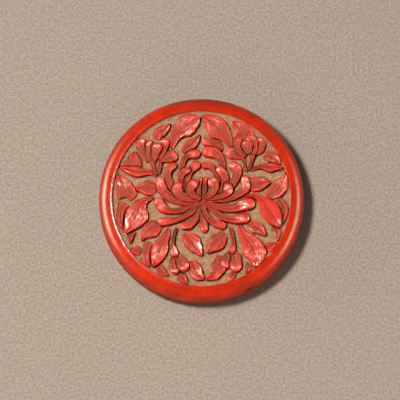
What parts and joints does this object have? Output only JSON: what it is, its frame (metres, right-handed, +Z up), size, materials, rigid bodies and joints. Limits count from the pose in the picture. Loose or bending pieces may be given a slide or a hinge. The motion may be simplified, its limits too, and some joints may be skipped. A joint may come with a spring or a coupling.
{
  "type": "carved lacquer box",
  "caption": "Round flat lacquer box with a lift-off lid, carved with a chrysanthemum, buds and leaves in red over an ochre ground.",
  "frame": {"origin": "centre of the foot, on the surface that the box stands on", "axes": "+Z up through the lid, +Y towards the far side as pictured, +X to the right"},
  "size_m": [0.075, 0.075, 0.0187],
  "materials": {
    "red_lacquer": "satin, hand-polished cinnabar lacquer",
    "ochre_lacquer": "dull, dusty ochre lacquer",
    "black_lacquer": "smooth satin black lacquer",
    "core_wood": "turned wood"
  },
  "bodies": {
    "base": {"base_core": "core_wood", "base_red_coat": "red_lacquer", "base_black_lining": "black_lacquer", "mouth_ring": "black_lacquer", "foot_ring": "black_lacquer", "underside_black_coat": "black_lacquer"},
    "lid": {"lid_core": "core_wood", "lid_red_coat": "red_lacquer", "ochre_ground": "ochre_lacquer", "lid_black_lining": "black_lacquer", "chrysanthemum": "red_lacquer", "blossom_upper_left": "red_lacquer", "blossom_upper_right": "red_lacquer", "bud_lower_right": "red_lacquer", "bud_lower_left": "red_lacquer", "back_petal_left": "red_lacquer", "back_petal_right": "red_lacquer", "leaf_top_left": "red_lacquer", "leaf_top_right": "red_lacquer", "leaf_right_large": "red_lacquer", "leaf_left_large": "red_lacquer", "leaf_lower_right_large": "red_lacquer", "leaf_lower_left_large": "red_lacquer", "leaf_right_long": "red_lacquer", "leaf_left_long": "red_lacquer", "leaf_upper_left": "red_lacquer", "leaf_upper_right": "red_lacquer", "leaf_right_shoulder": "red_lacquer", "leaf_right_inner": "red_lacquer", "leaf_right_tip": "red_lacquer", "leaf_right_edge": "red_lacquer", "leaf_right_low": "red_lacquer", "leaf_right_small": "red_lacquer", "leaf_lower_right_edge": "red_lacquer", "leaf_lower_right_low": "red_lacquer", "leaf_bottom_right": "red_lacquer", "leaf_below_flower_right": "red_lacquer", "leaf_below_flower_left": "red_lacquer", "leaf_bottom": "red_lacquer", "leaf_bottom_left_low": "red_lacquer", "leaf_lower_left_low": "red_lacquer", "leaf_lower_left_side": "red_lacquer", "leaf_lower_left_edge": "red_lacquer", "leaf_left_small": "red_lacquer", "leaf_left_edge": "red_lacquer", "leaf_left_low": "red_lacquer", "leaf_left_upper": "red_lacquer", "leaf_left_inner": "red_lacquer", "leaf_left_shoulder": "red_lacquer"}
  },
  "joints": [
    {"name": "lid_lift", "type": "slide", "parent": "base", "child": "lid", "axis": [0, 0, 1], "range_m": [0, 0.04]}
  ]
}
